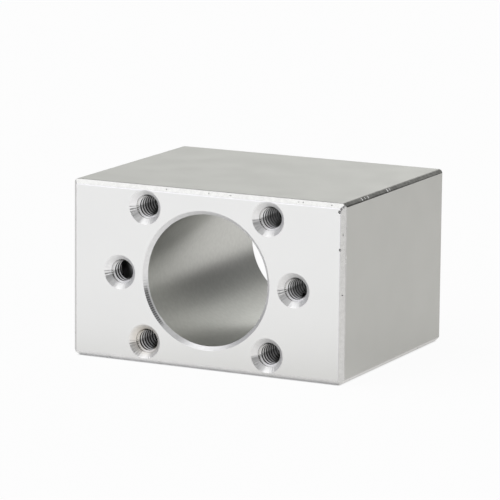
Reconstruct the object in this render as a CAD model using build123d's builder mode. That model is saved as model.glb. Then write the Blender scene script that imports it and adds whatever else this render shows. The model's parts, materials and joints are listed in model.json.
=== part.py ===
from build123d import *
from math import radians, tan
import os

# Ball screw nut housing: one block of machined aluminium, sizes in millimetres.
# X runs across the block, Y along the screw, and Z up from the mounting face.
# The origin is the middle of the mounting face. The flange face looks along -Y.

# Block
block_width = 50.0
block_length = 40.0
block_height = 30.0
end_edge_break = 0.8     # round the edges of both end faces
top_edge_break = 0.55    # along the two upper edges
foot_edge_break = 0.9    # along the two lower edges

# Bore for the body of the nut
nut_body_diameter = 22.0
nut_clearance = 0.05     # on the diameter
bore_height = block_height / 2    # axis above the mounting face, halfway up the block
bore_mouth_break = 0.65

# Tapped holes for the screws of the nut's flange, as many on each side of the bore
flange_pitch_circle = 32.0
flange_holes_per_side = 3
flange_hole_step = 45.0  # degrees between neighbours on one side
flange_thread = 4.0
flange_thread_pitch = 0.7
flange_hole_mouth = 5.8
flange_hole_depth = 14.0

# Four tapped holes in the underside, which hold the block to its carriage
mounting_spacing_x = 34.0
mounting_spacing_y = 28.0
mounting_thread = 5.0
mounting_thread_pitch = 0.8
mounting_hole_mouth = 5.8
mounting_hole_depth = 20.0

# Angles of the cutting tools
countersink_angle = 90.0
drill_point_angle = 118.0


# A hole drilled for a thread, from its mouth at z = 0 down to the cone of the drill point.
# The drill is the thread's diameter less one pitch, which leaves the metal for its flanks.
def tapping_hole(thread, pitch, mouth, depth):
    drill_radius = (thread - pitch) / 2
    mouth_radius = mouth / 2
    sink_depth = (mouth_radius - drill_radius) / tan(radians(countersink_angle / 2))
    point_depth = drill_radius / tan(radians(drill_point_angle / 2))
    with BuildPart() as hole:
        with BuildSketch(Plane.XZ):
            with BuildLine():
                Polyline(
                    (0, 0),
                    (mouth_radius, 0),
                    (drill_radius, -sink_depth),
                    (drill_radius, -depth),
                    (0, -depth - point_depth),
                    close=True,
                )
            make_face()
        revolve(axis=Axis.Z)
    return hole.part


flange_hole = tapping_hole(flange_thread, flange_thread_pitch, flange_hole_mouth, flange_hole_depth)
mounting_hole = tapping_hole(
    mounting_thread, mounting_thread_pitch, mounting_hole_mouth, mounting_hole_depth
)

# The faces that holes are drilled from, each with its normal out of the block
flange_face = Plane(origin=(0, -block_length / 2, bore_height), x_dir=(1, 0, 0), z_dir=(0, -1, 0))
mounting_face = Plane(origin=(0, 0, 0), x_dir=(1, 0, 0), z_dir=(0, 0, -1))

with BuildPart() as nut_housing:
    # The block's cross-section, with its four long edges broken
    with BuildSketch(Plane.XZ):
        Rectangle(block_width, block_height, align=(Align.CENTER, Align.MIN))
        chamfer(vertices().group_by(Axis.Y)[0], length=foot_edge_break)
        chamfer(vertices().group_by(Axis.Y)[-1], length=top_edge_break)
    extrude(amount=block_length / 2, both=True)

    # The side and plan outlines cut the edges of both end faces back to the same break
    with BuildSketch(Plane.YZ):
        Rectangle(block_length, block_height, align=(Align.CENTER, Align.MIN))
        chamfer(vertices(), length=end_edge_break)
    extrude(amount=block_width / 2, both=True, mode=Mode.INTERSECT)
    with BuildSketch(Plane.XY):
        Rectangle(block_width, block_length)
        chamfer(vertices(), length=end_edge_break)
    extrude(amount=block_height, mode=Mode.INTERSECT)

    # Bore, right through, with its mouth chamfered at both ends
    with Locations(flange_face):
        Hole(radius=(nut_body_diameter + nut_clearance) / 2)
    chamfer(nut_housing.edges().filter_by(GeomType.CIRCLE), length=bore_mouth_break)

    # Flange holes on the pitch circle, spread evenly about the bore's left and right
    with Locations(flange_face):
        for middle_angle in (0, 180):
            with PolarLocations(
                flange_pitch_circle / 2,
                flange_holes_per_side,
                start_angle=middle_angle - flange_hole_step * (flange_holes_per_side - 1) / 2,
                angular_range=flange_hole_step * flange_holes_per_side,
            ):
                add(flange_hole, mode=Mode.SUBTRACT)

    # Mounting holes, which break into the middle flange hole of each side
    with Locations(mounting_face):
        with GridLocations(mounting_spacing_x, mounting_spacing_y, 2, 2):
            add(mounting_hole, mode=Mode.SUBTRACT)

nut_housing.part.label = "nut_housing"
os.makedirs("parts", exist_ok=True)
export_step(nut_housing.part, "parts/nut_housing.step")
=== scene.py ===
import json
from math import cos, pi, radians, sin, tan
import bmesh
import bpy
import numpy as np
from mathutils import Euler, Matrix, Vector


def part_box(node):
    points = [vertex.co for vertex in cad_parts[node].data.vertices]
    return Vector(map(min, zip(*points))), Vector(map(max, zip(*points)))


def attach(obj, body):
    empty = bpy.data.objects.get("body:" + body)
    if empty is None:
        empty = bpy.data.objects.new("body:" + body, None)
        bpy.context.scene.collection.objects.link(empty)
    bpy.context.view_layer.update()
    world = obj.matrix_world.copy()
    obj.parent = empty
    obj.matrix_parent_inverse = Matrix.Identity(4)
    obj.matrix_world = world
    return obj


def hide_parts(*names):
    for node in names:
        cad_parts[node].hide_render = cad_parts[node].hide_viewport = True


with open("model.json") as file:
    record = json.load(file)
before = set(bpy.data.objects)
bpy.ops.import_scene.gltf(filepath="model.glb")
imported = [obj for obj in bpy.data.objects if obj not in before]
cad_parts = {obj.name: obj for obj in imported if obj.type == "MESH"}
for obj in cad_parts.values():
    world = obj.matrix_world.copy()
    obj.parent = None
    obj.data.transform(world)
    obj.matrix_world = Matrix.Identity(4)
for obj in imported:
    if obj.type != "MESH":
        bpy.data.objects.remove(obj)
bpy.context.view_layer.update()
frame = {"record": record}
print("frame loaded")

mm = 0.001  # the scene is in metres, and the sizes below are written in millimetres
mounts = {mount["name"]: mount for mount in frame["record"]["mounts"]}
low, high = (np.array(corner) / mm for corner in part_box("nut_housing"))
boreRadius = mounts["nut_bore"]["dims"]["r_mm"]
boreHeight = mounts["nut_bore"]["pos_m"][2] / mm


def addObject(name, data):
    # a new object in the scene, which shows the data
    made = bpy.data.objects.new(name, data)
    bpy.context.scene.collection.objects.link(made)
    return made


# the camera, a long lens from the right of the flange face and a little above it
camera = {
    "place": (266.91, -541.81, 132.41),
    "turn": 26.381,  # degrees to the left of +Y
    "tilt": 10.83,  # degrees down
    "roll": 0.55,  # degrees anticlockwise about its own line of sight
    "focalPixels": 3642.6,  # focal length in pixels of the picture
    "pictureWidth": 500,
    "sensor": 36.0,
    "clip": (0.01, 50),  # metres
}


def makeCamera():
    # focal length = focal pixels / picture width * sensor, aimed by turn and tilt, then rolled
    lens = bpy.data.cameras.new("camera")
    lens.sensor_width = camera["sensor"]
    lens.lens = camera["focalPixels"] / camera["pictureWidth"] * camera["sensor"]
    lens.clip_start, lens.clip_end = camera["clip"]
    eye = addObject("camera", lens)
    eye.location = [c * mm for c in camera["place"]]
    aim = Euler((pi / 2 - radians(camera["tilt"]), 0, radians(camera["turn"])))
    aim.rotate_axis("Z", radians(camera["roll"]))
    eye.rotation_euler = aim
    bpy.context.scene.camera = eye


makeCamera()
print("camera placed")


# node helpers

def feed(tree, socket, value):
    # gives an input socket a value, or a link from another socket
    if isinstance(value, bpy.types.NodeSocket):
        tree.links.new(value, socket)
    else:
        socket.default_value = value


def put(tree, kind, values=None, **settings):
    # adds a node, sets its properties, then feeds its input sockets
    node = tree.nodes.new(kind)
    for key, value in settings.items():
        setattr(node, key, value)
    for key, value in (values or {}).items():
        feed(tree, node.inputs[key], value)
    return node


def maths(tree, operation, a, b=0.0, c=0.0):
    # a number from up to three numbers or sockets
    return put(tree, "ShaderNodeMath", {0: a, 1: b, 2: c}, operation=operation).outputs[0]


def vectors(tree, operation, a, b=(0, 0, 0), c=(0, 0, 0)):
    # a vector, or a number for a distance or a dot product, from up to three vectors or sockets
    node = put(tree, "ShaderNodeVectorMath", {0: a, 1: b, 2: c}, operation=operation)
    return node.outputs["Value" if operation in ("DISTANCE", "DOT_PRODUCT") else "Vector"]


def ramp(tree, value, fromLow, fromHigh, toLow=0.0, toHigh=1.0):
    # smooth step of value between two limits
    limits = {"Value": value, "From Min": fromLow, "From Max": fromHigh, "To Min": toLow, "To Max": toHigh}
    return put(tree, "ShaderNodeMapRange", limits, interpolation_type="SMOOTHSTEP").outputs["Result"]


def blend(tree, factor, a, b):
    # colour between a and b, whose sockets are the mix node's inputs 6 and 7
    return put(tree, "ShaderNodeMix", {"Factor": factor, 6: a, 7: b}, data_type="RGBA").outputs[2]


def objectPlace(tree):
    # the object's own coordinates, in metres
    return put(tree, "ShaderNodeTexCoord").outputs["Object"]


def emptyTree(owner):
    # the node tree of a new material or world, with nothing in it
    owner.use_nodes = True
    owner.node_tree.nodes.clear()
    return owner.node_tree


def makeGroup(name, takes, gives):
    # shader node group with named inputs, a vector for None and otherwise a number, and named outputs
    tree = bpy.data.node_groups.new(name, "ShaderNodeTree")
    for socket, value in takes.items():
        kind = "NodeSocketVector" if value is None else "NodeSocketFloat"
        made = tree.interface.new_socket(socket, in_out="INPUT", socket_type=kind)
        if value is not None:
            made.default_value = value
    for socket in gives:
        tree.interface.new_socket(socket, in_out="OUTPUT", socket_type="NodeSocketFloat")
    return tree, tree.nodes.new("NodeGroupInput").outputs, tree.nodes.new("NodeGroupOutput").inputs


def useGroup(tree, group, **values):
    # the outputs of a group whose inputs are fed by name
    return put(tree, "ShaderNodeGroup", values, node_tree=group).outputs


# shared effects

# the grain's coarse noise is so many times the size of the fine one, and adds this share of its height
grainForm = {"coarseTimes": 4, "coarseShare": 0.6, "bump": 0.4}


def grainGroup():
    # fine grain of blasted and anodised metal: Height = fine + share * coarse, Cloud from a slow noise
    tree, given, gives = makeGroup("satinGrain", {"Place": None, "Size": 0.12, "CloudSize": 6.0},
                                   ("Height", "Cloud"))

    def noise(size, times, detail):
        # a noise whose scale is one over so many times the size
        scale = maths(tree, "DIVIDE", 1 / (times * mm), size)
        values = {"Vector": given["Place"], "Detail": detail, "Scale": scale}
        return put(tree, "ShaderNodeTexNoise", values).outputs["Fac"]

    fine = noise(given["Size"], 1, 2.0)
    coarse = noise(given["Size"], grainForm["coarseTimes"], 3.0)
    feed(tree, gives["Height"], maths(tree, "MULTIPLY_ADD", coarse, grainForm["coarseShare"], fine))
    feed(tree, gives["Cloud"], noise(given["CloudSize"], 1, 4.0))
    return tree


def stainGroup():
    # mask of a round stain: smooth step of the distance from its middle
    tree, given, gives = makeGroup("oilStain", {"Place": None, "Middle": None, "Inner": 0.0, "Outer": 0.0},
                                   ("Mask",))
    reach = vectors(tree, "DISTANCE", given["Place"], given["Middle"])
    feed(tree, gives["Mask"], ramp(tree, reach, given["Inner"], given["Outer"], 1.0, 0.0))
    return tree


def paintedHoleShadeGroup():
    # painted shade: level from 1 down to Least with the depth in a hole, depth = Face - Place along Outward
    takes = {"Place": None, "Outward": None, "Face": 0.0, "Shallow": 0.0, "Deep": 0.0, "Least": 0.0}
    tree, given, gives = makeGroup("paintedHoleShade", takes, ("Level",))
    height = vectors(tree, "DOT_PRODUCT", given["Place"], given["Outward"])
    depth = maths(tree, "SUBTRACT", given["Face"], height)
    feed(tree, gives["Level"], ramp(tree, depth, given["Shallow"], given["Deep"], 1.0, given["Least"]))
    return tree


grain, oilStain, paintedHoleShade = grainGroup(), stainGroup(), paintedHoleShadeGroup()


def startMaterial(name, colour, roughness):
    # a Principled metal with its Object coordinates
    made = bpy.data.materials.new(name)
    tree = emptyTree(made)
    values = {"Base Color": (*colour, 1), "Roughness": roughness, "Metallic": 1.0}
    shader = put(tree, "ShaderNodeBsdfPrincipled", values)
    put(tree, "ShaderNodeOutputMaterial", {"Surface": shader.outputs[0]})
    return made, tree, shader.inputs, objectPlace(tree)


def addGrain(tree, shader, height, depth):
    # the grain's height as a bump of so many millimetres
    values = {"Height": height, "Strength": grainForm["bump"], "Distance": depth * mm}
    bump = put(tree, "ShaderNodeBump", values)
    feed(tree, shader["Normal"], bump.outputs[0])


satin = {"colour": (0.563, 0.566, 0.544), "roughness": 0.4, "uneven": 0.015, "cloudRange": (0.3, 0.7),
         "grainSize": 0.12, "grainDepth": 0.0015}


def satinFace():
    # the plain faces: roughness from less uneven to plus uneven by the cloud, over fine grain
    made, tree, shader, place = startMaterial("satinFace", satin["colour"], satin["roughness"])
    effect = useGroup(tree, grain, Place=place, Size=satin["grainSize"])
    addGrain(tree, shader, effect["Height"], satin["grainDepth"])
    least, most = satin["roughness"] - satin["uneven"], satin["roughness"] + satin["uneven"]
    feed(tree, shader["Roughness"], ramp(tree, effect["Cloud"], *satin["cloudRange"], least, most))
    return made


# a brown stain of old oil in the lower left hole
stain = {"place": (-11.6, -19.6, 3.9), "inner": 1.6, "outer": 3.2, "tint": (0.86, 0.79, 0.68), "share": 0.6}


def stained(tree, place, colour):
    # colour drawn towards colour times tint by the stain's share of its mask
    mask = useGroup(tree, oilStain, Place=place, Middle=[c * mm for c in stain["place"]],
                    Inner=stain["inner"] * mm, Outer=stain["outer"] * mm)["Mask"]
    dull = [a * b for a, b in zip(colour, stain["tint"])]
    return blend(tree, maths(tree, "MULTIPLY", mask, stain["share"]), (*colour, 1), (*dull, 1))


# painted shade: the turns of a thread are painted darker with the depth below the face that the hole starts
# from, where shade falls in the hole
paintedDepthShade = {"shallow": 0.9, "deep": 4.8, "flangeLeast": 0.25, "mountingLeast": 0.8}


def paintedDepthShadeFrom(tree, place, outward, face, least):
    # level of the hole's painted shade below a face at this height along outward
    return useGroup(tree, paintedHoleShade, Place=place, Outward=outward, Face=face * mm,
                    Shallow=paintedDepthShade["shallow"] * mm, Deep=paintedDepthShade["deep"] * mm, Least=least)["Level"]


def flangeDepthShade(tree, place):
    # painted shade in the holes that start from the front face
    return paintedDepthShadeFrom(tree, place, (0, -1, 0), -low[1], paintedDepthShade["flangeLeast"])


def mountingDepthShade(tree, place):
    # painted shade in the holes that start from the underside
    return paintedDepthShadeFrom(tree, place, (0, 0, -1), -low[2], paintedDepthShade["mountingLeast"])


# painted shade of the tool's chatter: dark beads painted round part of the bore's mouth, with a painted
# highlight beside them
paintedChatterBeads = {
    "middle": 208, "half": 12, "fade": 9,  # degrees of the arc that has them
    "count": 190,  # round the whole circle
    "dark": 0.66,  # how much the painted shade darkens the outer part of the mouth
    "light": 0.25,  # how much lighter the painted highlight makes the inner part beside them
    "inner": 0.16, "step": 0.1,  # where the outer part starts, from the wall
    "wave": (-0.8, 0.3), "least": 0.45,  # the sine's range between beads and on them, and the shade between
}


def paintedBeadShadeAndHighlight(tree, place):
    # painted shade and highlight, 1 + arc * (light * (1 - outer) - dark * outer * bead), arc by the angle
    # round the bore's axis, outer by the distance from its wall, bead by sin(count * angle)
    spot = put(tree, "ShaderNodeSeparateXYZ", {0: place}).outputs
    up = maths(tree, "SUBTRACT", spot["Z"], boreHeight * mm)
    angle = maths(tree, "ARCTAN2", up, spot["X"])
    squared = maths(tree, "MULTIPLY_ADD", up, up, maths(tree, "MULTIPLY", spot["X"], spot["X"]))
    inner = boreRadius + paintedChatterBeads["inner"]
    outer = ramp(tree, maths(tree, "SQRT", squared), inner * mm, (inner + paintedChatterBeads["step"]) * mm)
    off = maths(tree, "ABSOLUTE", maths(tree, "SUBTRACT", angle, radians(paintedChatterBeads["middle"] - 360)))
    arc = ramp(tree, off, radians(paintedChatterBeads["half"]), radians(paintedChatterBeads["half"] + paintedChatterBeads["fade"]), 1.0, 0.0)
    wave = maths(tree, "SINE", maths(tree, "MULTIPLY", angle, paintedChatterBeads["count"]))
    bead = ramp(tree, wave, *paintedChatterBeads["wave"], paintedChatterBeads["least"], 1.0)
    dark = maths(tree, "MULTIPLY", maths(tree, "MULTIPLY", outer, bead), -paintedChatterBeads["dark"])
    light = maths(tree, "MULTIPLY", maths(tree, "SUBTRACT", 1.0, outer), paintedChatterBeads["light"])
    return maths(tree, "MULTIPLY_ADD", arc, maths(tree, "ADD", dark, light), 1.0)


cutMetal = {
    "cloudSize": 0.7,
    "cloudRange": (0.35, 0.65),
    "grainDepth": 0.01,  # times the grain's size
    "spread": 0.85,  # how much farther a turned cut's shine spreads across its tool marks
}


def turnedAbout(tree, shader, axis):
    # the tool marks run along normal x axis, and the shine spreads along normal x (normal x axis)
    normal = put(tree, "ShaderNodeTexCoord").outputs["Normal"]
    along = vectors(tree, "CROSS_PRODUCT", normal, axis)
    feed(tree, shader["Tangent"], vectors(tree, "CROSS_PRODUCT", normal, along))
    feed(tree, shader["Anisotropic"], cutMetal["spread"])


def plainCut(name, colour, roughness, grainSize=0.2, blotch=0.03, shade=None, axis=None):
    # cut metal: colour, stained, times 1 + blotch * (2 cloud - 1) and times its shade, over fine grain
    made, tree, shader, place = startMaterial(name, colour, roughness)
    effect = useGroup(tree, grain, Place=place, Size=grainSize, CloudSize=cutMetal["cloudSize"])
    level = ramp(tree, effect["Cloud"], *cutMetal["cloudRange"], 1 - blotch, 1 + blotch)
    if shade:
        level = maths(tree, "MULTIPLY", level, shade(tree, place))
    if axis:
        turnedAbout(tree, shader, axis)
    varied = put(tree, "ShaderNodeVectorMath", {0: stained(tree, place, colour), "Scale": level},
                 operation="SCALE")
    feed(tree, shader["Base Color"], varied.outputs[0])
    addGrain(tree, shader, effect["Height"], cutMetal["grainDepth"] * grainSize)
    return made


materials = [
    satinFace(),
    plainCut("brokenEdge", (0.65, 0.65, 0.64), 0.24),
    # painted dark reflection on the long edges of the top
    plainCut("paintedDarkTopEdges", (0.22, 0.22, 0.21), 0.3, blotch=0.2),
    plainCut("roundedEdge", (0.63, 0.63, 0.62), 0.45),
    plainCut("nick", (0.34, 0.34, 0.33), 0.4, blotch=0.3),
    plainCut("turnedBore", (0.6, 0.605, 0.58), 0.36, grainSize=0.4),
    plainCut("flangeSink", (0.76, 0.76, 0.75), 0.33, axis=(0, 1, 0)),
    # painted shade and highlight of the chatter beads round the bore's mouth
    plainCut("boreMouth", (0.73, 0.73, 0.72), 0.38, shade=paintedBeadShadeAndHighlight, axis=(0, 1, 0)),
    # the threads' colour carries the painted shade of their depth
    plainCut("flangeThread", (0.55, 0.55, 0.54), 0.2, shade=flangeDepthShade),
    plainCut("mountingThread", (0.65, 0.65, 0.64), 0.3, shade=mountingDepthShade),
    # painted shade on the upright edge at the front left
    plainCut("paintedShadeLeftEdge", (0.4, 0.4, 0.39), 0.3),
    plainCut("mountingSink", (0.76, 0.76, 0.75), 0.33, axis=(0, 0, 1)),
]
faceSlot, edgeSlot, paintedDarkTopSlot, roundSlot, nickSlot, boreSlot = range(6)
flangeSinkSlot, mouthSlot, flangeThreadSlot, mountingThreadSlot, paintedShadeLeftSlot, mountingSinkSlot = range(6, 12)
print("materials made")


# mesh helpers

mergeUnder = 1e-4  # points nearer than this become one


def newMesh(name):
    # an empty mesh with every material, so that a slot is the same in all
    mesh = bpy.data.meshes.new(name)
    for material in materials:
        mesh.materials.append(material)
    return mesh


def makeMesh(name, points, faces, slots):
    # mesh object from points in millimetres and a list of faces, doubles merged, faces turned outwards
    mesh = newMesh(name)
    mesh.from_pydata((points.reshape(-1, 3) * mm).tolist(), [], faces)
    mesh.polygons.foreach_set("material_index", np.asarray(slots, np.int32))
    work = bmesh.new()
    work.from_mesh(mesh)
    bmesh.ops.remove_doubles(work, verts=work.verts, dist=mergeUnder * mm)
    bmesh.ops.recalc_face_normals(work, faces=work.faces)
    work.to_mesh(mesh)
    work.free()
    return addObject(name, mesh)


def joined(name, pieces):
    # one mesh object from several that don't touch
    work = bmesh.new()
    for piece in pieces:
        work.from_mesh(piece.data)
        bpy.data.objects.remove(piece)
    mesh = newMesh(name)
    work.to_mesh(mesh)
    work.free()
    return addObject(name, mesh)


def gridFaces(rows, columns):
    # quads between neighbouring rows and columns of a grid of points
    r = np.arange(rows - 1)[:, None] * columns
    c = np.arange(columns - 1)[None, :]
    return np.stack([r + c, r + c + 1, r + columns + c + 1, r + columns + c], -1).reshape(-1, 4).tolist()


def closedFaces(rows, columns):
    # the same where the last column meets the first, with a flat lid on the first and on the last row
    last = (rows - 1) * columns
    return gridFaces(rows, columns) + [list(range(columns - 1)), list(range(last, last + columns - 1))]


def wholeTurn(columns):
    # so many steps round a circle, the last angle the same as the first
    return np.linspace(0, 2 * pi, columns + 1)


def turnedSolid(name, depth, radius, slots, place, outward):
    # closed surface, point = place - outward * depth + radius * (across cos a + up sin a), with radius an
    # array of rows by angles and depth the same or one column, and slots by row
    rows, columns = radius.shape
    angle = wholeTurn(columns - 1)[:, None]
    outward, across = np.array(outward, float), np.array((1.0, 0, 0))
    ring = across * np.cos(angle) + np.cross(outward, across) * np.sin(angle)
    points = np.array(place) - outward * depth[..., None] + ring * radius[..., None]
    slots = np.concatenate([np.repeat(slots, columns - 1), [slots[0], slots[-1]]])
    return makeMesh(name, points, closedFaces(rows, columns), slots)


# the block, with every edge broken and the breaks softened by tumbling
block = {
    "endBreak": 0.8, "topBreak": 0.55, "footBreak": 0.9,
    "edgeRadius": 0.11, "edgeSteps": 3, "edgeAngle": 20,  # the softening, of edges over this angle
    "flatOver": 0.99,  # the part along one axis that the normal of a flat face has at least
    "smoothUnder": 30,  # neighbours in a hole or a softened edge are shaded as one under this angle
}


def makeBlock():
    # sections along Y: the outline inset by e, its corners cut by max(0, break - 2 e), where e falls
    # from endBreak on each end face to 0
    e = np.array([block["endBreak"], block["footBreak"] / 2, block["topBreak"] / 2, 0.0])
    y = low[1] + block["endBreak"] - e
    e = np.concatenate([e, e[::-1]])
    y = np.concatenate([y, -y[::-1]])
    foot = np.maximum(0, block["footBreak"] - 2 * e)
    top = np.maximum(0, block["topBreak"] - 2 * e)
    left, right, under, over = low[0] + e, high[0] - e, low[2] + e, high[2] - e
    x = np.stack([left + foot, right - foot, right, right, right - top, left + top, left, left,
                  left + foot], 1)
    z = np.stack([under, under, under + foot, over - top, over, over, over - top, under + foot, under], 1)
    points = np.stack([x, np.broadcast_to(y[:, None], x.shape), z], -1)
    faces = closedFaces(*x.shape)
    made = makeMesh("block", points, faces, np.zeros(len(faces)))
    flat = np.array([max(abs(c) for c in p.normal) > block["flatOver"] for p in made.data.polygons])
    made.data.polygons.foreach_set("material_index", np.where(flat, faceSlot, edgeSlot).astype(np.int32))
    soften = made.modifiers.new("softened edges", "BEVEL")
    soften.width, soften.segments = block["edgeRadius"] * mm, block["edgeSteps"]
    soften.limit_method, soften.angle_limit = "ANGLE", radians(block["edgeAngle"])
    soften.material = roundSlot
    return made


# nicks in the broken edges: on an edge by place along it, size and depth, elsewhere by place and size
nicks = {
    "frontTop": [(17.4, 0.16, 0.08), (16.6, 0.12, 0.06), (-7.5, 0.14, 0.05), (0.3, 0.14, 0.06)],
    "frontRight": [(15.0, 0.16, 0.05)],
    "topRight": [(-12.9, 0.32, 0.11), (-11.7, 0.26, 0.11), (-10.5, 0.3, 0.11), (-3.0, 0.36, 0.13),
                 (-2.0, 0.3, 0.13)],
    "corner": [(24.1, -20.02, 28.66, 0.27), (24.42, -19.93, 29.12, 0.24), (24.72, -19.6, 29.45, 0.22),
               (24.26, -19.98, 22.45, 0.22)],
    "worn": [(25.02, -19.22, 21.1, 0.18), (25.02, -19.24, 20.2, 0.14), (25.02, -19.2, 26.2, 0.13)],
    "lift": 0.5,  # this share of a nick's size, less its depth, is how far its middle lies out of the edge
    "steps": (8, 12),  # of its mesh, from pole to pole and round
    "scattered": 60,
    "apart": 1.5,  # least distance from a scattered nick to any other, and to the edge's ends
    "sizes": (0.1, 0.22),
    "lifts": (0.35, 0.6),  # shares of their size
    "stretches": (0.6, 2.2),  # along the edge, times their size
    "seed": 7,
}


def onEdge(axis, sides, along, out):
    # point = corner - sides * (half the edge's break - out), and along in place of the edge's own axis
    name = "endBreak" if axis != 1 else ("topBreak" if sides[2] > 0 else "footBreak")
    place = np.where(sides < 0, low, high) - sides * (block[name] / 2 - out)
    place[axis] = along
    return place


def dentCutter(place, size, slot, axis=0, stretch=1.0):
    # ellipsoid, point = place + radii * (sin u cos v, sin u sin v, cos u), stretched along one axis
    down, around = nicks["steps"]
    u = np.linspace(0, pi, down + 1)[:, None]
    v = wholeTurn(around)[None, :]
    ball = np.stack([np.sin(u) * np.cos(v), np.sin(u) * np.sin(v), np.cos(u) + 0 * v], -1)
    radii = np.full(3, size)
    radii[axis] *= stretch
    faces = gridFaces(down + 1, around + 1)
    return makeMesh("dent", np.array(place) + ball * radii, faces, np.full(len(faces), slot))


def makeDents():
    # the placed nicks, then the scattered ones, less those too near to another
    made = []
    for group, axis, sides, stretch, slot in (
        ("frontTop", 0, (0, -1, 1), 0.6, nickSlot),
        ("frontRight", 2, (1, -1, 0), 0.7, nickSlot),
        ("topRight", 1, (1, 0, 1), 0.7, flangeSinkSlot),
    ):
        for along, size, deep in nicks[group]:
            place = onEdge(axis, np.array(sides), along, size * nicks["lift"] - deep)
            made.append(dentCutter(place, size, slot, axis, stretch))
    for group, slot in (("corner", nickSlot), ("worn", flangeSinkSlot)):
        made += [dentCutter(place, size, slot) for *place, size in nicks[group]]
    random = np.random.default_rng(nicks["seed"])
    taken = [np.array(dent.data.vertices[0].co) / mm for dent in made]
    for _ in range(nicks["scattered"]):
        size = random.uniform(*nicks["sizes"])
        axis = random.integers(3)
        sides = random.choice((-1, 1), 3)
        out = size * random.uniform(*nicks["lifts"])
        along = random.uniform(low[axis] + nicks["apart"], high[axis] - nicks["apart"])
        place = onEdge(axis, sides, along, out)
        stretch = random.uniform(*nicks["stretches"])
        if min(np.linalg.norm(place - other) for other in taken) > nicks["apart"]:
            taken.append(place)
            made.append(dentCutter(place, size, nickSlot, axis, stretch))
    return made


# the bore, right through, with a chamfered mouth at each end that the tool left rippled
bore = {"mouthBreak": 0.65, "columns": 720, "ripples": 144, "rippleHeight": 0.005, "overrun": 0.4, "seed": 1}
# the tool's chatter, deeper about one angle, and made of waves of nearly the same count
chatter = {"middle": 214, "spread": 20, "gain": 3.5, "beats": (-3, -1, 0, 2, 3), "least": 0.3}


def ripple(angle, count, height, seed):
    # height / 2 * sum of waves with random phases and sizes, times
    # 1 + gain * e ** ((cos(angle - middle) - 1) / (1 - cos spread))
    random = np.random.default_rng(seed)
    total = np.zeros_like(angle)
    for beat in chatter["beats"]:
        size = random.uniform(chatter["least"], 1)
        total += size * np.sin((count + beat) * angle + random.uniform(0, 2 * pi))
    lobe = (np.cos(angle - radians(chatter["middle"])) - 1) / (1 - cos(radians(chatter["spread"])))
    return height * total / 2 * (1 + chatter["gain"] * np.exp(lobe))


def makeBoreCutter():
    # radius by depth: a 45 degree cone down to the wall, the wall, and the same cone outwards
    length = high[1] - low[1]
    over, cone = bore["overrun"], bore["mouthBreak"]
    depth = np.array([-over, cone / 2, cone, length / 3, length * 2 / 3, length - cone, length - cone / 2,
                      length + over])
    radius = boreRadius + np.array([cone + over, cone / 2, 0, 0, 0, 0, cone / 2, cone + over])
    rippled = np.array([1, 1, 0, 0, 0, 0, 1, 1])
    wave = ripple(wholeTurn(bore["columns"]), bore["ripples"], bore["rippleHeight"], bore["seed"])
    slots = np.array([mouthSlot] * 2 + [boreSlot] * 3 + [flangeSinkSlot] * 2)
    return turnedSolid("boreCutter", depth[:, None], radius[:, None] + rippled[:, None] * wave, slots,
                       (0, low[1], boreHeight), (0, -1, 0))


# tapped holes: a countersink over a thread that runs out above the drill point
flangeTap = {"major": 4.2, "minor": 3.5, "relief": 4.04, "pitch": 0.86, "turns": 14, "mouth": 5.8,
             "drillDepth": 14.0, "columns": 72, "sinkColumns": 216, "ripples": 36, "rippleHeight": 0.012,
             "sinkSlot": flangeSinkSlot, "threadSlot": flangeThreadSlot}
mountingTap = {"major": 5.0, "minor": 4.2, "relief": 4.8, "pitch": 0.8, "turns": 14, "mouth": 5.8,
               "drillDepth": 20.0, "columns": 48, "sinkColumns": 96, "ripples": 24, "rippleHeight": 0.007,
               "sinkSlot": mountingSinkSlot, "threadSlot": mountingThreadSlot}
sinkForm = {"overrun": 0.3, "reliefDepth": 0.12, "tipRadius": 0.1, "firstSeed": 11}
threadForm = {"root": 0.12, "crest": 0.46, "pointAngle": 118, "tipShare": 0.02}


def sinkCutter(tap, place, outward, seed):
    # cone, radius = mouth / 2 - depth, rippled by chatter, then a short relief and a cone to a point
    over, tip, relief = sinkForm["overrun"], sinkForm["tipRadius"], tap["relief"] / 2
    foot = tap["mouth"] / 2 - relief
    shoulder = foot + sinkForm["reliefDepth"]
    depth = np.array([-over, foot, shoulder, shoulder + relief - tip])
    radius = np.array([tap["mouth"] / 2 + over, relief, relief, tip])
    rippled = np.array([1, 1, 1, 0])
    wave = ripple(wholeTurn(tap["sinkColumns"]), tap["ripples"], tap["rippleHeight"], seed)
    slots = np.array([tap["sinkSlot"], tap["threadSlot"], tap["threadSlot"]])
    return turnedSolid("sinkCutter", depth[:, None], radius[:, None] + rippled[:, None] * wave, slots, place,
                       outward)


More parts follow.
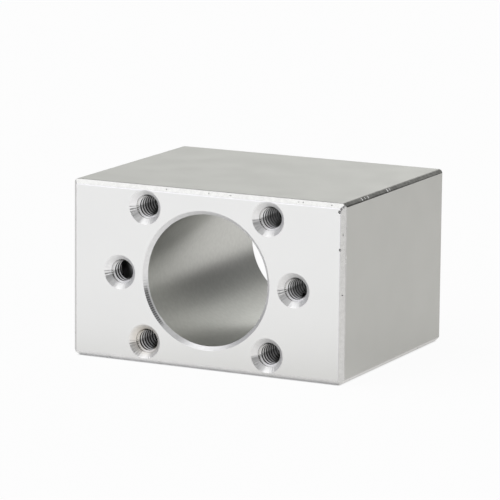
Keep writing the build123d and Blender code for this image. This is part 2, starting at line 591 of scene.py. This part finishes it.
def threadCutter(tap, place, outward):
    # helical groove: rows follow the corners of its section, depth = pitch * (row - angle / 360) held
    # between the two ends, radius = minor + groove, and the groove runs out over the last pitch
    root, crest, tip = threadForm["root"], threadForm["crest"], threadForm["tipShare"]
    turns, drill, groove = tap["turns"], tap["minor"] / 2, (tap["major"] - tap["minor"]) / 2
    flank = (1 - root - crest) / 2
    corners = np.array([0, root, root + flank, root + flank + crest])
    row = np.append((np.arange(-1, turns + 1)[:, None] + corners).ravel(), turns + 1)
    turn = np.linspace(0, 1, tap["columns"] + 1)
    level = np.clip(row[:, None] - turn, -1, turns)
    phase = np.mod(level + turn + 1e-9, 1)  # the tiny part keeps a whole turn from rounding down
    form = np.interp(phase, [*corners, 1], [1, 1, 0, 0, 1])
    radius = drill + groove * form * np.clip(turns - level, 0, 1)
    point = drill / tan(radians(threadForm["pointAngle"] / 2))
    ends = np.ones((1, len(turn)))
    depth = np.concatenate([level * tap["pitch"], tap["drillDepth"] * ends,
                            (tap["drillDepth"] + point * (1 - tip)) * ends])
    radius = np.concatenate([radius, drill * ends, drill * tip * ends])
    slots = np.full(len(depth) - 1, tap["threadSlot"])
    return turnedSolid("threadCutter", depth, radius, slots, place, outward)


def patternSpots(mount, second):
    # hole centres of a line or a rectangle of holes, spread along X and along a second axis
    halves = [mount["dims"].get(key, 0) / 2 for key in ("spacing_x_mm", "spacing_y_mm")]
    centre = np.array(mount["pos_m"]) / mm
    sides = (-1, 1) if halves[1] else (0,)
    return [centre + np.array((a * halves[0], 0, 0)) + np.array(second) * b * halves[1]
            for a in (-1, 1) for b in sides]


def makeTappedCutters():
    # the crossing holes are in different cutters, so that no cutter runs into itself
    sinks, threads = [], {flangeTap["pitch"]: [], mountingTap["pitch"]: []}
    for pattern, tap, outward, second, face, axis in (
        ("flange_screws", flangeTap, (0, -1, 0), (0, 0, 1), low[1], 1),
        ("flange_screws_middle", flangeTap, (0, -1, 0), (0, 0, 1), low[1], 1),
        ("carriage_screws", mountingTap, (0, 0, -1), (0, 1, 0), low[2], 2),
    ):
        for spot in patternSpots(mounts[pattern], second):
            spot[axis] = face
            sinks.append(sinkCutter(tap, spot, outward, sinkForm["firstSeed"] + len(sinks)))
            threads[tap["pitch"]].append(threadCutter(tap, spot, outward))
    return [joined("sinks", sinks)] + [joined("threads", group) for group in threads.values()]


def paintEdgeShade(shape, slots):
    # painted shade: the long edges of the top are painted darker than the others, standing in for a dark
    # reflection, and the upright one at the front left is painted darker and is a little rougher, both found
    # by the normals of their faces
    normals = np.empty(len(slots) * 3, np.float32)
    shape.polygons.foreach_get("normal", normals)
    sideways, along, upwards = normals[0::3], normals[1::3], normals[2::3]
    edge = (slots == edgeSlot) | (slots == roundSlot)
    longEdge = edge & (np.abs(along) < 0.2) & (np.abs(sideways) > 0.1) & (upwards > 0.1)
    leftEdge = edge & (sideways < -0.4) & (along < -0.05) & (upwards < 0.3)
    slots = np.where(longEdge, paintedDarkTopSlot, np.where(leftEdge, paintedShadeLeftSlot, slots))
    shape.polygons.foreach_set("material_index", slots.astype(np.int32))


def cutHousing():
    # the block less every cutter, as one mesh, with its holes and softened edges shaded smooth
    solid = makeBlock()
    cutters = [makeBoreCutter()] + makeTappedCutters() + [joined("dents", makeDents())]
    for cutter in cutters:
        cut = solid.modifiers.new("cut", "BOOLEAN")
        cut.operation, cut.solver, cut.object = "DIFFERENCE", "MANIFOLD", cutter
    bpy.context.view_layer.update()
    shape = bpy.data.meshes.new_from_object(solid.evaluated_get(bpy.context.evaluated_depsgraph_get()))
    shape.name = "housingBlock"
    for spent in [solid] + cutters:
        bpy.data.objects.remove(spent)
    slots = np.empty(len(shape.polygons), np.int32)
    shape.polygons.foreach_get("material_index", slots)
    shape.set_sharp_from_angle(angle=radians(block["smoothUnder"]))
    shape.polygons.foreach_set("use_smooth", slots >= roundSlot)
    paintEdgeShade(shape, slots)
    return addObject("housingBlock", shape)


housing = cutHousing()
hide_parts("nut_housing")
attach(housing, "root")
print("housing cut,", len(housing.data.polygons), "faces")


# the studio: white floor, and a world of soft lights by direction
studio = {
    "floorHalf": 6.0,  # metres
    "floorColour": (0.9, 0.9, 0.9),
    "floorGlow": 0.95,  # share of plain white in what the camera sees, the rest is lit and shaded
    "mirroredGlow": 0.78,  # the same share in what the metal reflects
    "mirroredColour": (1.0, 0.985, 0.965),
    # painted pool of light: the floor in the direction of the front left light glows brighter and cooler from
    # start to end in what the metal reflects
    "paintedLightPool": {"turn": 152, "start": -20, "end": 68, "gain": 0.76, "colour": (0.985, 0.98, 1.01)},
    # distances from the block's outline between which the glow changes, and its first and last share; the
    # glow that falls away by the block is painted shadow
    "contact": (-0.8, -0.1, 0.0, 1.0),  # painted contact shadow that uncovers the lit floor's real shadow, for all
    "nearGlow": (0, 25, 0.9, 1.0),  # painted soft shadow, for what the metal reflects
    "underGlow": (-0.95, -0.72, 0.8, 0.0),  # right under the block, for views from below
    "underSides": 0.45,  # how much farther in the first two lie under the left and right sides
    "room": 0.11,
}


def heading(turn, rise=0):
    # direction of a turn to the left of +Y and a rise above the horizon, in degrees
    turn, rise = radians(turn), radians(rise)
    return -sin(turn) * cos(rise), cos(turn) * cos(rise), sin(rise)


def glowFall(tree, narrower, start, end, first, last):
    # smooth step of the larger of |x| and |y| less the half sizes of the block, narrower across X
    half = tuple((high - np.array((narrower, 0, 0))) * mm)
    inside = vectors(tree, "SUBTRACT", vectors(tree, "ABSOLUTE", objectPlace(tree)), half)
    sides = put(tree, "ShaderNodeSeparateXYZ", {0: inside}).outputs
    nearest = maths(tree, "MAXIMUM", sides["X"], sides["Y"])
    return ramp(tree, nearest, start * mm, end * mm, first, last)


def floorWhite(tree, seen):
    # the plain white of the floor: one for the camera, and tinted and brighter ahead for the metal, as a
    # painted pool of light
    paintedLightPool = studio["paintedLightPool"]
    reach = vectors(tree, "DOT_PRODUCT", objectPlace(tree), [c / mm for c in heading(paintedLightPool["turn"])])
    part = ramp(tree, reach, paintedLightPool["start"], paintedLightPool["end"])
    mirrorTint = blend(tree, part, (*studio["mirroredColour"], 1), (*paintedLightPool["colour"], 1))
    gain = maths(tree, "MULTIPLY", part, paintedLightPool["gain"])
    strength = maths(tree, "MULTIPLY_ADD", maths(tree, "SUBTRACT", 1.0, seen), gain, 1.0)
    tint = blend(tree, seen, mirrorTint, (1, 1, 1, 1))
    return put(tree, "ShaderNodeEmission", {"Color": tint, "Strength": strength}).outputs[0]


def makeFloor():
    # a mix of lit floor and plain white, the share of white = contact * max(seen, mirrored * near), or
    # mirrored * below where that is more; contact and near are painted shadow
    half, height = studio["floorHalf"], low[2] * mm
    mesh = bpy.data.meshes.new("floor")
    corners = [(x * half, y * half, height) for x, y in ((-1, -1), (1, -1), (1, 1), (-1, 1))]
    mesh.from_pydata(corners, [], [(0, 1, 2, 3)])
    floor = addObject("floor", mesh)
    made = bpy.data.materials.new("paleFloor")
    tree = emptyTree(made)
    rays = put(tree, "ShaderNodeLightPath").outputs
    white = floorWhite(tree, rays["Is Camera Ray"])
    lit = put(tree, "ShaderNodeBsdfDiffuse", {"Color": (*studio["floorColour"], 1)})
    contact = glowFall(tree, studio["underSides"], *studio["contact"])
    near = glowFall(tree, studio["underSides"], *studio["nearGlow"])
    below = glowFall(tree, 0, *studio["underGlow"])
    mirrored = maths(tree, "MAXIMUM", rays["Is Glossy Ray"], rays["Is Transmission Ray"])
    seen = maths(tree, "MULTIPLY", rays["Is Camera Ray"], studio["floorGlow"])
    glow = maths(tree, "MULTIPLY", maths(tree, "MULTIPLY", mirrored, near), studio["mirroredGlow"])
    share = maths(tree, "MULTIPLY", maths(tree, "MAXIMUM", seen, glow), contact)
    share = maths(tree, "MAXIMUM", share, maths(tree, "MULTIPLY", mirrored, below))
    mixed = put(tree, "ShaderNodeMixShader", {0: share, 1: lit.outputs[0], 2: white})
    # nothing of the floor is seen from below, so that the underside can be
    under = put(tree, "ShaderNodeNewGeometry").outputs["Backfacing"]
    clear = put(tree, "ShaderNodeBsdfTransparent")
    oneSided = put(tree, "ShaderNodeMixShader", {0: under, 1: mixed.outputs[0], 2: clear.outputs[0]})
    put(tree, "ShaderNodeOutputMaterial", {"Surface": oneSided.outputs[0]})
    mesh.materials.append(made)


# turn is the heading in degrees to the left of +Y, rise the height above the horizon, inner and outer
# the half widths at which the light is full and gone
cool, plain, warm = (0.985, 0.98, 1.045), (1.0, 1.0, 1.0), (1.0, 1.0, 0.97)
lights = [
    {"turn": 153, "rise": 8, "inner": 12, "outer": 30, "strength": 1.6, "colour": cool},  # front left, low
    {"turn": 153, "rise": 32, "inner": 12, "outer": 30, "strength": 1.0, "colour": cool},  # front left, high
    {"turn": 122, "rise": 10, "inner": 8, "outer": 26, "strength": 1.17, "colour": cool},  # left of the front
    {"turn": 182, "rise": 12, "inner": 8, "outer": 26, "strength": 1.0, "colour": cool},  # front
    {"turn": 113, "rise": 61.5, "inner": 20, "outer": 32, "strength": 1.3, "colour": plain},  # overhead
    {"turn": 27, "rise": 10, "inner": 8, "outer": 24, "strength": 1.05, "colour": warm},  # behind, left
    {"turn": 2, "rise": 14, "inner": 8, "outer": 24, "strength": 0.64, "colour": warm},  # behind
    {"turn": 4, "rise": 38, "inner": 8, "outer": 26, "strength": 0.33, "colour": warm},  # behind, high
    {"turn": 80, "rise": 16, "inner": 10, "outer": 34, "strength": 0.2, "colour": warm},  # left
    {"turn": -156, "rise": 46, "inner": 10, "outer": 27, "strength": 0.62, "colour": plain},  # right, high
    {"turn": -153, "rise": 8, "inner": 8, "outer": 26, "strength": 0.3, "colour": plain},  # front right, low
    {"turn": -78, "rise": 20, "inner": 12, "outer": 40, "strength": 0.5, "colour": plain},  # right
    {"turn": -72, "rise": 3, "inner": 6, "outer": 22, "strength": 0.9, "colour": plain},  # right, low
]


def softLight(tree, ray, light):
    # mask of one light: smooth step of the cosine between the ray and the light's direction
    near = vectors(tree, "DOT_PRODUCT", ray, heading(light["turn"], light["rise"]))
    return ramp(tree, near, cos(radians(light["outer"])), cos(radians(light["inner"])))


def makeWorld():
    # room + sum of mask * strength * colour, and plain white where the camera sees it
    world = bpy.data.worlds.new("studio")
    bpy.context.scene.world = world
    tree = emptyTree(world)
    ray = put(tree, "ShaderNodeTexCoord").outputs["Generated"]
    total = (studio["room"],) * 3
    for light in lights:
        colour = [light["strength"] * c for c in light["colour"]]
        total = vectors(tree, "MULTIPLY_ADD", softLight(tree, ray, light), colour, total)
    seen = put(tree, "ShaderNodeLightPath").outputs["Is Camera Ray"]
    shown = blend(tree, seen, total, (1, 1, 1, 1))
    sky = put(tree, "ShaderNodeBackground", {"Color": shown, "Strength": 1.0})
    put(tree, "ShaderNodeOutputWorld", {"Surface": sky.outputs[0]})


makeFloor()
makeWorld()
bpy.context.scene.view_settings.view_transform = "Standard"
print("studio lit")
